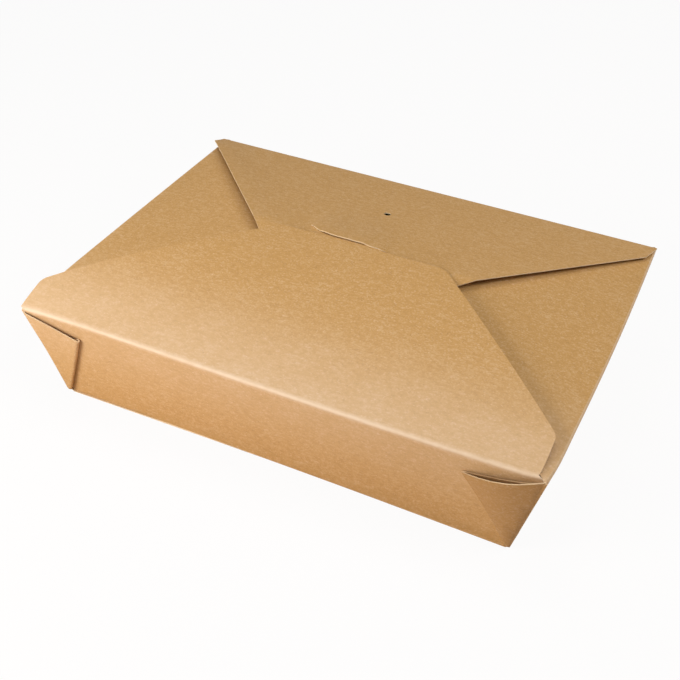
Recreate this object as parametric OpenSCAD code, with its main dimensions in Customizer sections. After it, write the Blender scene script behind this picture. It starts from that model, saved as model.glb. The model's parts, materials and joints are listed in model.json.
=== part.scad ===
// Folded paperboard takeout box, closed by a front flap whose tongue tucks into a slit in the back flap.
// X runs along the front, Y towards the back and Z up. The origin is the middle of the base's underside.
// All sizes are in millimetres.

/* [Tray] */
// Length of the base, along the front
base_length = 197; // [180:1:208]
// Width of the base, front to back
base_width = 143; // [124:1:150]
// Length of the rim, along the front
top_length = 218; // [206:1:236]
// Width of the rim, front to back
top_width = 159; // [152:1:164]
// Height of the front and back creases above the base
tray_height = 47.6; // [40:0.2:70]
// Thickness of the board
board = 0.5; // [0.4:0.05:0.6]

/* [Front flap] */
// Length of the front flap, from its crease to its top edge
front_flap_length = 86; // [82:0.5:92]
// How far the front flap's top edge stands above its crease when closed
crown = 10; // [7:0.5:13]
// Straight part of the front flap's side edges, next to the crease
front_ear = 16; // [10:0.5:24]
// Angle between the crease and the front flap's slanted edges
front_slant = 45; // [42:1:48]
// Rounding of the front flap's ears
ear_radius = 5; // [2:0.5:16]
// Rounding of the front flap's top corners
top_corner_radius = 8; // [2:0.5:12]

/* [Back flap] */
// Length of the back flap's end that lies under the front flap
back_tuck = 22; // [10:1:30]
// Straight part of the back flap's side edges, next to the crease
back_ear = 11; // [6:0.5:20]
// Angle between the crease and the back flap's slanted edges
back_slant = 48; // [45:1:52]
// Rounding of the back flap's hidden corners
tuck_corner_radius = 8; // [2:0.5:12]
// Diameter of the vent hole
vent_diameter = 2.4; // [1.5:0.1:6]
// Distance of the vent hole from the back crease
vent_from_crease = 36.5; // [20:0.5:55]
// Place of the vent hole along the flap, from the box's middle
vent_offset = -4; // [-20:0.5:20]

/* [Side flaps] */
// Length of each side flap, from its crease to its tip
side_flap_length = 66; // [50:1:70]
// Space between each end of a side flap's crease and the rim's corner
side_flap_gap = 7; // [4:0.5:12]
// Angle between the crease and a side flap's slanted edges
side_slant = 49; // [47:1:54]
// Rounding of the side flaps' tips
tip_corner_radius = 6; // [2:0.5:10]

/* [Tongue and slit] */
// Width of the tongue
tongue_width = 36.5; // [24:0.5:48]
// Length of the tongue's end that lies under the back flap
tongue_length = 10; // [6:0.5:14]
// Place of the tongue along the flap, from the box's middle
tongue_offset = -8; // [-12:0.5:12]
// Flat start of the tongue, past the front flap's top edge
tongue_root = 1.2; // [1:0.1:2]
// Steepness of the tongue where it steps down through the slit
tongue_step = 60; // [50:1:70]
// Rounding of the tongue's corners
tongue_corner_radius = 5; // [2:0.5:6]
// Room around the tongue in the slit
slit_room = 0.4; // [0.3:0.05:0.6]

/* [Web corners] */
// Length of each web corner's folded edge, from the base up
web_fold_length = 44.7; // [38:0.1:46]
// Drop of each web corner's cut edge below the rim, at the corner
web_drop = 1.2; // [1:0.1:3]
// Start of the web corners above the base's underside
web_lift = 0.5; // [0.3:0.1:1]

/* [Creases and layers] */
// Room between layers of board that lie on each other
lap_gap = 0.3; // [0.25:0.05:0.5]
// How much thicker a crease's bead is than the board
crease_bulge = 0.1; // [0.06:0.02:0.16]
// Room between the front flap's crease and the wall below it
crease_room = 0.3; // [0.25:0.05:0.5]
// How far the flaps' ears stand in from the rim's ends
ear_inset = 1; // [0.8:0.1:2]

/* [Hidden] */
$fn = 48;
board_colour = "burlywood";
flap_colour = "tan";
// Points on each rounded corner
arc_steps = 6;
// Overshoot of a cutting shape past what it cuts
cut_past = 5;
// Share of the board's thickness that a corner's bead reaches into the wall
bead_root = 0.6;

// Board layers: the step from one layer's middle to the next, and a crease's bead
lap = board + lap_gap;
bead = board + crease_bulge;

// Walls: how far they lean out, and the height of each panel along its slope
lean_x = atan((top_length - base_length) / 2 / tray_height);
lean_y = atan((top_width - base_width) / 2 / tray_height);
front_panel = tray_height / cos(lean_y);
side_panel = tray_height / cos(lean_x);

// Creases: middle of the board at the rim, with the side creases one layer lower
crease_x = top_length / 2 - board / 2;
crease_y = top_width / 2 - board / 2;
side_crease_z = tray_height - lap;
front_wall_top = tray_height - bead / 2 - crease_room;
ear_half = top_length / 2 - ear_inset;
side_flap_half = top_width / 2 - side_flap_gap;

// Closed flaps: slopes from the creases up to the ridge, where the front flap lies on the back flap
front_slope = asin(crown / front_flap_length);
top_edge = [front_flap_length * cos(front_slope) - crease_y, tray_height + crown];
ridge = top_edge - [0, lap / cos(front_slope)];
back_slope = atan((ridge[1] - tray_height) / (crease_y - ridge[0]));
back_rear = norm(ridge - [crease_y, tray_height]);
back_ridge_half = ear_half - (back_rear - back_ear) / tan(back_slant);
// Side flaps: their tips' corners lie one layer under the front flap
tip_half = side_flap_half - side_flap_length / tan(side_slant);
side_slope = asin((crease_y - tip_half) * tan(front_slope) / side_flap_length);

// Tongue: flat root, step through the slit and foot under the back flap, as places in Y and Z
tongue_start = top_edge + tongue_root * [cos(front_slope), sin(front_slope)];
foot_line = ridge - [0, lap / cos(back_slope)];
step_length = meet(tongue_start, -tongue_step, foot_line, -back_slope);
foot_start = tongue_start + step_length * [cos(tongue_step), -sin(tongue_step)];

// Slit: its middle, from the back crease, and its width for the slanting tongue
slit_tilt = tongue_step - back_slope;
slit_middle = back_rear - meet(ridge, -back_slope, tongue_start, -tongue_step);
slit_width = board / sin(slit_tilt) + board / tan(slit_tilt) + 2 * slit_room;
slit_length = tongue_width + 2 * slit_room;

// Web corners: angle of the folded web and the corners of its triangle on the front panel
corner_lean = atan((top_length - base_length) / 2 / front_panel);
web_angle = 90 - corner_lean - atan((top_width - base_width) / 2 / side_panel);
fold_tilt = web_angle / 2 - corner_lean;
web_foot = [base_length / 2, 0];
web_rim = web_foot + (front_panel - web_drop) * [tan(corner_lean), 1];
web_free = web_foot + web_fold_length * [-sin(fold_tilt), cos(fold_tilt)];
// The corner's bead reaches into the wall and past the outer layer, and the fold's bead holds both layers
corner_bead = 2 * lap + crease_bulge + bead_root * board;
corner_bead_out = 2 * lap + crease_bulge - corner_bead / 2;
corner_bead_in = corner_bead / 2 - crease_bulge;
fold_bead = lap + bead;
fold_bead_out = lap_gap + board + lap_gap / 2;

// Distance from point p, along angle a, to the line through q at angle b
function meet(p, a, q, b) =
    cross(q - p, [cos(b), sin(b)]) / cross([cos(a), sin(a)], [cos(b), sin(b)]);

function unit(v) = v / norm(v);

// Points of an arc of radius r that rounds the corner at point p
function corner_arc(before, p, after, r) =
    let (
        to_before = unit(before - p),
        to_after = unit(after - p),
        half = acos(to_before * to_after) / 2,
        middle = p + unit(to_before + to_after) * r / sin(half),
        first = p + to_before * r / tan(half) - middle,
        last = p + to_after * r / tan(half) - middle,
        sweep = 180 - 2 * half
    )
    [for (i = [0:arc_steps])
        middle + (sin(sweep * (1 - i / arc_steps)) * first + sin(sweep * i / arc_steps) * last) / sin(sweep)];

// Outline whose corners are rounded by the radii given, where 0 keeps a sharp corner
function rounded(points, radii) =
    let (n = len(points))
    [for (i = [0:n - 1]) each radii[i] > 0
        ? corner_arc(points[(i + n - 1) % n], points[i], points[(i + 1) % n], radii[i])
        : [points[i]]];

// Half of the wall-to-wall size at height z, less a wall's thickness
function half_length(z, wall) = base_length / 2 + z * tan(lean_x) - wall / cos(lean_x);
function half_width(z, wall) = base_width / 2 + z * tan(lean_y) - wall / cos(lean_y);

// Side view of the tray's room between two heights, from its half sizes there
function tapered_side(low_half, low, high_half, high) =
    [[-low_half, low], [low_half, low], [high_half, high], [-high_half, high]];

// Solid that tapers as the tray does, between two heights, inside walls of the thickness given
module tapered_block(low, high, wall) {
    intersection() {
        rotate([90, 0, 0])
            linear_extrude(2 * top_width, center = true)
                polygon(tapered_side(half_length(low, wall), low, half_length(high, wall), high));
        rotate([90, 0, 90])
            linear_extrude(2 * top_length, center = true)
                polygon(tapered_side(half_width(low, wall), low, half_width(high, wall), high));
    }
}

// Sheet of board with its middle on the XY plane
module sheet(points) {
    linear_extrude(board, center = true)
        polygon(points);
}

// Crease's bead along X
module crease(length, diameter = bead) {
    rotate([0, 90, 0])
        cylinder(h = length, d = diameter, center = true);
}

// Places a flap whose crease is on X and whose sheet runs along +Y, as it leaves each crease
module on_front_crease() {
    translate([0, -crease_y, tray_height])
        rotate([front_slope, 0, 0])
            children();
}

module on_back_crease() {
    translate([0, crease_y, tray_height])
        mirror([0, 1, 0])
            rotate([back_slope, 0, 0])
                children();
}

module on_right_crease() {
    translate([crease_x, 0, side_crease_z])
        rotate([0, 0, 90])
            rotate([side_slope, 0, 0])
                children();
}

// Places a shape drawn on the front panel, with Y up its slope and Z out of it
module on_front_panel() {
    translate([0, -base_width / 2, 0])
        rotate([90 + lean_y, 0, 0])
            children();
}

module with_mirror(axis) {
    children();
    mirror(axis)
        children();
}

// Base and four walls, with the side walls one layer lower and the front wall cut below its flap's crease
module tray() {
    difference() {
        tapered_block(0, tray_height, 0);
        tapered_block(board, tray_height + cut_past, board);
        with_mirror([1, 0, 0])
            translate([crease_x - 2 * board, -top_width, side_crease_z])
                cube([top_length, top_width + crease_y - 2 * board, tray_height]);
        translate([-top_length, -top_width - crease_y + 2 * board, front_wall_top])
            cube([2 * top_length, top_width, tray_height]);
    }
}

// Rod along the front panel's slope from its lower end, leaning by the angle given
module panel_rod(foot, angle, out, length, diameter) {
    translate([foot[0], foot[1], out])
        rotate([0, 0, angle])
            rotate([-90, 0, 0])
                cylinder(h = length, d = diameter);
}

// Web between the front and right walls, folded in two layers flat on the front wall
module web_corner() {
    intersection() {
        on_front_panel() {
            for (out = [lap, 2 * lap])
                translate([0, 0, out - board / 2])
                    sheet([web_foot, web_rim, web_free]);
            panel_rod(web_foot - [corner_bead_in, 0], -corner_lean, corner_bead_out,
                norm(web_rim - web_foot), corner_bead);
            panel_rod(web_foot, fold_tilt, fold_bead_out, web_fold_length, fold_bead);
        }
        translate([0, -top_width / 2, web_lift + tray_height])
            cube([2 * top_length, 2 * top_width, 2 * tray_height], center = true);
    }
}

// Right side flap, folded in first
module side_flap() {
    on_right_crease() {
        sheet(rounded(
            [[-side_flap_half, 0], [side_flap_half, 0],
                [tip_half, side_flap_length], [-tip_half, side_flap_length]],
            [0, 0, tip_corner_radius, tip_corner_radius]));
        crease(2 * side_flap_half + crease_bulge);
    }
}

// Back flap from its crease to the ridge, with the slit and the vent hole
module back_flap_rear() {
    on_back_crease() {
        difference() {
            sheet([[-ear_half, 0], [ear_half, 0], [ear_half, back_ear],
                [back_ridge_half, back_rear], [-back_ridge_half, back_rear], [-ear_half, back_ear]]);
            translate([tongue_offset, slit_middle, 0])
                cube([slit_length, slit_width, 2 * cut_past], center = true);
            translate([vent_offset, vent_from_crease, 0])
                cylinder(h = 2 * cut_past, d = vent_diameter, center = true);
        }
        crease(2 * ear_half + crease_bulge);
    }
}

// End of the back flap, bent down at the ridge to lie under the front flap
module back_flap_tuck() {
    end_half = back_ridge_half - back_tuck / tan(back_slant);
    translate([0, ridge[0], ridge[1]])
        mirror([0, 1, 0])
            rotate([-front_slope, 0, 0]) {
                sheet(rounded(
                    [[-back_ridge_half, 0], [back_ridge_half, 0], [end_half, back_tuck], [-end_half, back_tuck]],
                    [0, 0, tuck_corner_radius, tuck_corner_radius]));
                crease(2 * back_ridge_half + crease_bulge);
            }
}

// Front flap as far as the tongue's flat root
module front_flap_panel() {
    top_half = ear_half - (front_flap_length - front_ear) / tan(front_slant);
    root = [tongue_offset - tongue_width / 2, tongue_offset + tongue_width / 2];
    past = front_flap_length + tongue_root;
    on_front_crease() {
        sheet(rounded(
            [[-ear_half, 0], [ear_half, 0], [ear_half, front_ear], [top_half, front_flap_length],
                [root[1], front_flap_length], [root[1], past], [root[0], past], [root[0], front_flap_length],
                [-top_half, front_flap_length], [-ear_half, front_ear]],
            [0, 0, ear_radius, top_corner_radius, 0, 0, 0, 0, top_corner_radius, ear_radius]));
        crease(2 * ear_half + crease_bulge);
    }
}

// Tongue: step down through the slit and foot under the back flap
module tongue() {
    half = tongue_width / 2;
    translate([tongue_offset, tongue_start[0], tongue_start[1]])
        rotate([-tongue_step, 0, 0]) {
            sheet([[-half, 0], [half, 0], [half, step_length], [-half, step_length]]);
            crease(tongue_width + crease_bulge);
        }
    translate([tongue_offset, foot_start[0], foot_start[1]])
        rotate([-back_slope, 0, 0]) {
            sheet(rounded([[-half, 0], [half, 0], [half, tongue_length], [-half, tongue_length]],
                [0, 0, tongue_corner_radius, tongue_corner_radius]));
            crease(tongue_width + crease_bulge);
        }
}

// Folded sheet: tray, glued web corners, side flaps and back flap
module carton() {
    color(board_colour) {
        tray();
        with_mirror([0, 1, 0])
            with_mirror([1, 0, 0])
                web_corner();
        with_mirror([1, 0, 0])
            side_flap();
        back_flap_rear();
        back_flap_tuck();
    }
}

// Front flap with its crease and tongue
module front_flap() {
    color(flap_colour) {
        front_flap_panel();
        tongue();
    }
}

carton();
front_flap();
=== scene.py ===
"""Takeout box of folded brown paperboard, dressed on its CAD frame.

The box is modelled as a maker folds it: the blank's panels are flat faces, the creases are spun or
bevelled bends, the panels get their slight bows, and the sheet then gets its thickness.
"""

import json
from math import asin, atan, cos, exp, pi, radians, sin, sqrt, tan

import bmesh
import bpy
from bpy.props import FloatProperty, FloatVectorProperty, PointerProperty
from mathutils import Matrix, Vector


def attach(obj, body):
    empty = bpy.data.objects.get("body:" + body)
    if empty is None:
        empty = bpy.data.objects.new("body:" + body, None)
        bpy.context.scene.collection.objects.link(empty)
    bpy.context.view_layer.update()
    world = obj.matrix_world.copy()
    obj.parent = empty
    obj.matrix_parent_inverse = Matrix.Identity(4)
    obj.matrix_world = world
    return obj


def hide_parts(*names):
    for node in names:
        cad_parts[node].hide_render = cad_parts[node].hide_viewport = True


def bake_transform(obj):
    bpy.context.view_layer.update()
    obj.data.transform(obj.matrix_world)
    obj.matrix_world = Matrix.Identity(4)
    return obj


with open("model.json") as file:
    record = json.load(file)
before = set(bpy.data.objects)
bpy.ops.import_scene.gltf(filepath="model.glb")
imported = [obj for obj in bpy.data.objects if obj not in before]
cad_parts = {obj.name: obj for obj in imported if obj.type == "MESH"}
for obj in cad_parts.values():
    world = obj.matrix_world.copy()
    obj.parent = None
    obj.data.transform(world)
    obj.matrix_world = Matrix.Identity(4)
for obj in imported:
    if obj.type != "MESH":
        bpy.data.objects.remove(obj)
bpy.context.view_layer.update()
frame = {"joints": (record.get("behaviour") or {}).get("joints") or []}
hinge = frame["joints"][0]
hinge_point = Vector(hinge["pos_m"])

bl_info = {
    "name": "Takeout Box",
    "version": (1, 0, 0),
    "blender": (4, 5, 0),
    "location": "View3D > Sidebar > Takeout Box",
    "description": "Builds a folded paperboard takeout box around its CAD frame",
    "category": "Object",
}

X = Vector((1, 0, 0))
Y = Vector((0, 1, 0))
Z = Vector((0, 0, 1))

# Kinds of panel and bend, kept on the sheet's faces while it is shaped
PLAIN_BEND, BASE, FRONT_WALL, SIDE_WALL, WEB_OUTER, WEB_INNER, WEB_FOLD = range(7)
SIDE_CREASE, SIDE_FLAP, BACK_REAR, BACK_FRONT, FRONT_FLAP, TONGUE, CORNER_BEND = range(7, 14)

# Points closer than this are one point of the blank
WELD = 2e-5
# Edges shorter than this are closed up
SLIVER = 5e-5
# Board that turns more than this from face to face is drawn with a sharp edge
SHARP = radians(50)
# Steps that round the bends, the webs' folds, the panels' corners, the slit's hook and the vent
CREASE_STEPS = 8
BASE_STEPS = 4
CORNER_STEPS = 5
WEB_FOLD_STEPS = 8
WEB_TURN_STEPS = 6
OUTLINE_STEPS = 8
TONGUE_STEPS = 4
HOOK_STEPS = 6
VENT_SIDES = 14
# A web's bulge leans towards the box's corner, the further this is below 1
BULGE_LEAN = 0.8
# The drop of a web's inner layer holds on towards the fold, the further this is above 1
DROP_HOLD = 8
# The lip stays raised past the tongue's right end, by this share of the tongue's taper
LIP_PAST = 1 / 3
# Width of the camera's sensor, in millimetres, and how near to it the picture starts, in metres
SENSOR_WIDTH = 36.0
NEAR_CLIP = 0.01

WHITE = (1, 1, 1, 1)


def length(label, description, default):
    """A size in metres that a user can change."""
    return FloatProperty(name=label, description=description, default=default, min=0.0, unit="LENGTH")


def offset(label, description, default):
    """A place along the front, from the box's middle, or a shift along it, that a user can change."""
    return FloatProperty(name=label, description=description, default=default, unit="LENGTH")


def lengths(label, description, default):
    """Three lengths or the parts of a shift that a user can change."""
    return FloatVectorProperty(name=label, description=description, default=default, size=3, unit="LENGTH")


def slant(label, description, degrees):
    """An angle that a user can change."""
    return FloatProperty(name=label, description=description, default=radians(degrees), subtype="ANGLE")


def place(label, description, default):
    """A point in the room that a user can change."""
    return FloatVectorProperty(name=label, description=description, default=default, subtype="TRANSLATION")


def power(label, description, default):
    """A lamp's strength in watts that a user can change."""
    return FloatProperty(name=label, description=description, default=default, min=0.0, unit="POWER")


def share(label, description, default):
    """A share from 0 to 1 that a user can change."""
    return FloatProperty(name=label, description=description, default=default, min=0.0, max=1.0,
                         subtype="FACTOR")


def colour(label, description, default):
    """A linear colour that a user can change."""
    return FloatVectorProperty(name=label, description=description, default=default, size=4,
                               min=0.0, max=1.0, subtype="COLOR")


class BoxSizes(bpy.types.PropertyGroup):
    """Sizes of the blank and its folds."""
    base_length: length("Base length", "Length of the base, along the front", 0.197)
    base_width: length("Base width", "Width of the base, front to back", 0.143)
    top_length: length("Rim length", "Length of the rim, along the front", 0.218)
    top_width: length("Rim width", "Width of the rim, front to back", 0.159)
    board: length("Board", "Thickness of the board", 0.0005)
    lap_gap: length("Lap gap", "Room between layers of board that lie on each other", 0.0003)
    crease_reach: length("Crease reach", "Bent board on each side of a flap's crease", 0.0008)
    crease_strip: length("Crease strip", "Flat board that goes with the front crease, on each side", 0.0012)
    base_bend: length("Base bend", "Width of the bend between the base and a wall", 0.0007)
    corner_bend: length("Corner bend", "Width of the bend between a side wall and a web", 0.0011)
    front_flap_length: length("Front flap length", "From the front crease to the flap's top edge", 0.086)
    crown: length("Crown", "Rise of the front flap's top edge above its crease", 0.010)
    front_left: offset("Front left", "Left end of the front flap along its crease", -0.1094)
    front_right: offset("Front right", "Right end of the front flap along its crease", 0.1048)
    front_ear: length("Front ear", "Straight part of the front flap's side edges, at the wall's ends", 0.016)
    front_slant: slant("Front slant", "Angle of the front flap's slanted edges to the crease", 45)
    ear_radius: length("Ear radius", "Rounding of the front flap's ears", 0.005)
    top_corner_radius: length("Top corner radius", "Rounding of the front flap's top corners", 0.008)
    back_tuck: length("Back tuck", "End of the back flap that lies under the front flap", 0.022)
    back_half: length("Back half", "Half of the back flap's length along its crease", 0.1090)
    back_left: offset("Back left", "Left ear's end, where the back flap's slanted edge starts", -0.1104)
    back_right: offset("Back right", "Right ear's end, where the back flap's slanted edge starts", 0.1064)
    back_ear: length("Back ear", "Straight part of the back flap's side edges, at the wall's ends", 0.011)
    back_slant: slant("Back slant", "Angle of the back flap's slanted edges to the crease", 48)
    vent_diameter: length("Vent diameter", "Diameter of the vent hole", 0.0030)
    vent_from_crease: length("Vent place", "Distance of the vent hole from the back crease", 0.0365)
    vent_offset: offset("Vent offset", "Place of the vent hole along the flap", -0.004)
    side_flap_length: length("Side flap length", "From a side crease to the flap's tip", 0.066)
    side_flap_past: length("Side flap past", "How far the side creases run past the rim's corners", 0.0008)
    side_slant: slant("Side slant", "Angle of the side flaps' slanted edges to the crease", 49)
    tip_radius: length("Tip radius", "Rounding of the side flaps' tips", 0.006)
    tongue_left: offset("Tongue's left", "Left end of the tongue along the flap", -0.0235)
    tongue_right: offset("Tongue's right", "Right end of the tongue along the flap", 0.0030)
    tongue_length: length("Tongue length", "Length of the tongue past the front flap's top edge", 0.0115)
    tongue_bend: length("Tongue bend", "Bend of the tongue at the front flap's top edge", 0.0015)
    tongue_taper: length("Tongue taper", "How much narrower the tongue's tip is, at each end", 0.006)
    tongue_sink: slant("Tongue sink", "Slope of the tongue under the back flap's own slope", 5)
    slit_left: offset("Slit's left", "Left end of the slit along the flap", -0.0274)
    slit_right: offset("Slit's right", "Right end of the slit along the flap", 0.0110)
    slit_from_crease: length("Slit place", "Distance of the slit from the back crease", 0.0722)
    hook_radius: length("Hook radius", "Bend of the slit's hooked end", 0.0198)
    hook_turn: slant("Hook turn", "How far the slit's hooked end turns back", 47)
    web_fold_length: length("Web fold", "Length of a web corner's folded edge", 0.0425)
    web_lift: length("Web lift", "Start of the web corners up the wall", 0.0030)
    web_loop: length("Web loop", "Width of a web's fold at its cut edge", 0.0017)
    web_loop_low: length("Low web loop", "Width of a web's fold at its foot", 0.0012)
    web_stand: length("Web stand", "Distance of a web's outer layer from the wall at the rim", 0.0013)
    corner_room: length("Corner room", "Room between the end of a wall and the web's corner", 0.0013)


class SheetForm(bpy.types.PropertyGroup):
    """How the folded board bows, lifts and gapes."""
    grid: length("Grid", "Spacing of the sheet's faces", 0.004)
    slit_grid: length("Slit grid", "Spacing of the faces beside the slit", 0.001)
    flap_bow: length("Flap bow", "Rise of the front flap's middle above a straight sheet", 0.0015)
    left_bow: length("Left bow", "Further rise of the front flap's left side", 0.0018)
    wall_bow: length("Wall bow", "Swell of the walls' middles", 0.0006)
    right_spread: length("Right spread", "How far the right rim springs outward", 0.0012)
    left_spread: length("Left spread", "How far the left rim springs outward", 0.0003)
    lip_lift: length("Lip lift", "Rise of the slit's rear edge over the tongue", 0.0017)
    lip_tail: share("Lip tail", "Share of that rise beside the tongue", 0.65)
    lip_reach: length("Lip reach", "How far behind the slit the board lifts", 0.018)
    ear_curl: length("Ear curl", "How far the back flap's left ear curls up", 0.0013)
    curl_reach: length("Curl reach", "How far from its slanted edge the back flap lifts", 0.014)
    curl_past: length("Curl past", "How far past its ear the back flap's left edge lifts", 0.045)
    skew: length("Skew", "How far the back right corner leans out past a square tray", 0.0006)
    sag_out: length("Sag outward", "How far the front crease's middle bulges past its ends", 0.0011)
    sag_ends: length("Sag at the ends", "How far the front crease's ends stand out", 0.0006)
    sag_down: length("Sag downward", "How far the front crease sinks", 0.0011)
    sag_left: lengths("Sag on the left", "How the front crease's left end hangs over",
                      (0.0, -0.0010, -0.0007))
    left_reach: length("Left reach", "How far from the front crease its left end hangs over", 0.0035)
    left_grip: FloatProperty(name="Left grip", description="How much the hang keeps to the very end",
                             default=6.0, min=1.0)
    press: lengths("Corner press", "How the front right corner is pressed in", (-0.0009, 0.0008, 0.0))
    press_reach: length("Press reach", "How far from the corner's edge the board is pressed in", 0.007)
    sag_reach: length("Sag reach", "How far from the front crease the board sags with it", 0.018)
    # Gape off the wall of a web's outer layer, its inner layer and its fold
    right_web: lengths("Right web", "Gape of the front right web's layers", (0.0028, 0.0004, -0.0012))
    left_web: lengths("Left web", "Gape of the front left web's layers", (-0.0004, 0.0, -0.0005))
    back_web: lengths("Back webs", "Gape of the back webs' layers", (0.0012, 0.0005, 0.0))
    right_shift: offset("Right web's shift", "Shift of the front right web's fold along the wall", -0.0038)
    left_shift: offset("Left web's shift", "Shift of the front left web's fold along the wall", -0.0011)
    inner_drop: length("Inner drop", "How far the left web's inner layer stays below its outer one", 0.0030)


class BoardLook(bpy.types.PropertyGroup):
    """Colours and relief of the board."""
    face: colour("Face", "Brown face of the board", (0.58, 0.330, 0.117, 1))
    inside: colour("Inside", "Smoother face inside the box", (0.42, 0.235, 0.090, 1))
    raw: colour("Raw edge", "Cut edges of the board", (0.84, 0.65, 0.41, 1))
    # Pale is also the colour of the painted highlight and sheen at the front crease
    pale: colour("Pale fibre", "Lighter fibres, flecks and rubbed creases", (0.80, 0.60, 0.42, 1))
    # Dark is also the colour of the painted shade on the webs
    dark: colour("Dark fibre", "Darker fibres and flecks", (0.30, 0.150, 0.055, 1))
    relief: length("Relief", "Height of the board's fibres", 0.00005)
    relief_share: share("Relief share", "Share of the fibres' height that shades the board", 0.6)
    face_gloss: share("Face gloss", "Gloss of the outer face and the cut edges", 0.1)
    inside_gloss: share("Inside gloss", "Gloss of the face inside the box", 0.4)
    bend_rub: share("Bend rub", "How pale the tray's bends are rubbed", 0.1)
    rim_rub: share("Rim rub", "How pale the side flaps' bends are rubbed", 0.5)
    # Partly real rub at the front crease, partly a painted highlight along its rounded fold
    crease_rub_and_highlight: share("Crease rub", "How pale the front crease is rubbed", 0.65)
    crease_rub_and_highlight_reach: length("Crease rub reach", "How far that rub goes from the front crease", 0.0011)
    # Painted shade: darkens the webs' inner layers, inside the pockets between the layers where shade falls
    painted_pocket_shade: share("Glue", "How dark the glue makes the webs' inner layers", 0.7)
    # Painted shade: darkens the right webs' outer layers, which turn away from the light
    painted_web_shade: share("Web dark", "How dark the glue makes the right webs' outer layers", 0.40)
    # Painted sheen: a broad pale area around the front crease that stands in for the lamps' sheen on the flap
    front_painted_sheen: share("Front rub", "How pale the board around the front crease is rubbed", 0.42)
    # Less of the painted highlight, sheen and rub on the wall below the front crease
    wall_rub_and_highlight_loss: share("Wall rub loss", "How much less the wall below the front crease is rubbed", 0.4)
    front_painted_sheen_reach: length("Front rub reach", "How far from the front crease the board is paler", 0.028)


class StageLook(bpy.types.PropertyGroup):
    """Camera, floor and lamps."""
    lens: FloatProperty(name="Lens", description="Focal length on a 36 mm sensor", default=56.49,
                        min=10.0, unit="CAMERA")
    camera_place: place("Camera place", "Where the camera stands", (0.147777, -0.338754, 0.299495))
    camera_target: place("Camera target", "Point in the picture's middle", (-0.0058, 0.0, 0.01044))
    camera_roll: slant("Camera roll", "Turn of the camera about its view", 1.755)
    floor_size: length("Floor size", "Side of the floor", 8.0)
    floor_tone: colour("Floor tone", "Pale floor's colour", (0.82, 0.71, 0.65, 1))
    floor_roughness: share("Floor roughness", "How matt the floor is", 0.9)
    floor_white: share("Floor white", "Share of plain white in the floor that is seen", 0.94)
    sky: FloatProperty(name="Sky", description="Strength of the light from all around", default=0.03, min=0.0)
    key_place: place("Key place", "Where the front lamp stands", (-0.255, -0.410, 0.260))
    key_size: length("Key size", "Side of the front lamp", 0.25)
    key_power: power("Key power", "Strength of the front lamp", 2.2)
    key_tint: colour("Key tint", "Colour of the front lamp", (1.0, 0.98, 0.95, 1))
    top_place: place("Top place", "Where the lamp above hangs", (-0.120, 0.110, 0.870))
    top_size: length("Top size", "Side of the lamp above", 0.45)
    top_power: power("Top power", "Strength of the lamp above", 1.95)
    fill_place: place("Fill place", "Where the right lamp stands", (0.585, 0.0, 0.675))
    fill_size: length("Fill size", "Side of the right lamp", 0.45)
    fill_power: power("Fill power", "Strength of the right lamp", 3.5)


class Crease:
    """A bend that joins a wall's top to a flap: the board turns from up to flap about axis."""

    def __init__(self, point, axis, up, flap_rise, reach):
        inward = Vector((-up.x, -up.y, 0)).normalized()
        self.point = point
        self.axis = axis
        self.up = up
        self.flap = inward * cos(flap_rise) + Z * sin(flap_rise)
        self.reach = reach
        self.wall_top = point - reach * up
        turn = up.angle(self.flap)
        across = self.flap - self.flap.dot(up) * up
        self.centre = self.wall_top + reach / tan(turn / 2) * across.normalized()
        self.angle = turn if up.cross(self.flap).dot(axis) > 0 else -turn
        self.lift = self.flap.cross(axis).normalized()

    def on_flap(self, along, out):
        """Point of the flat flap, from its crease's middle."""
        return self.point + along * self.axis + out * self.flap


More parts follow.
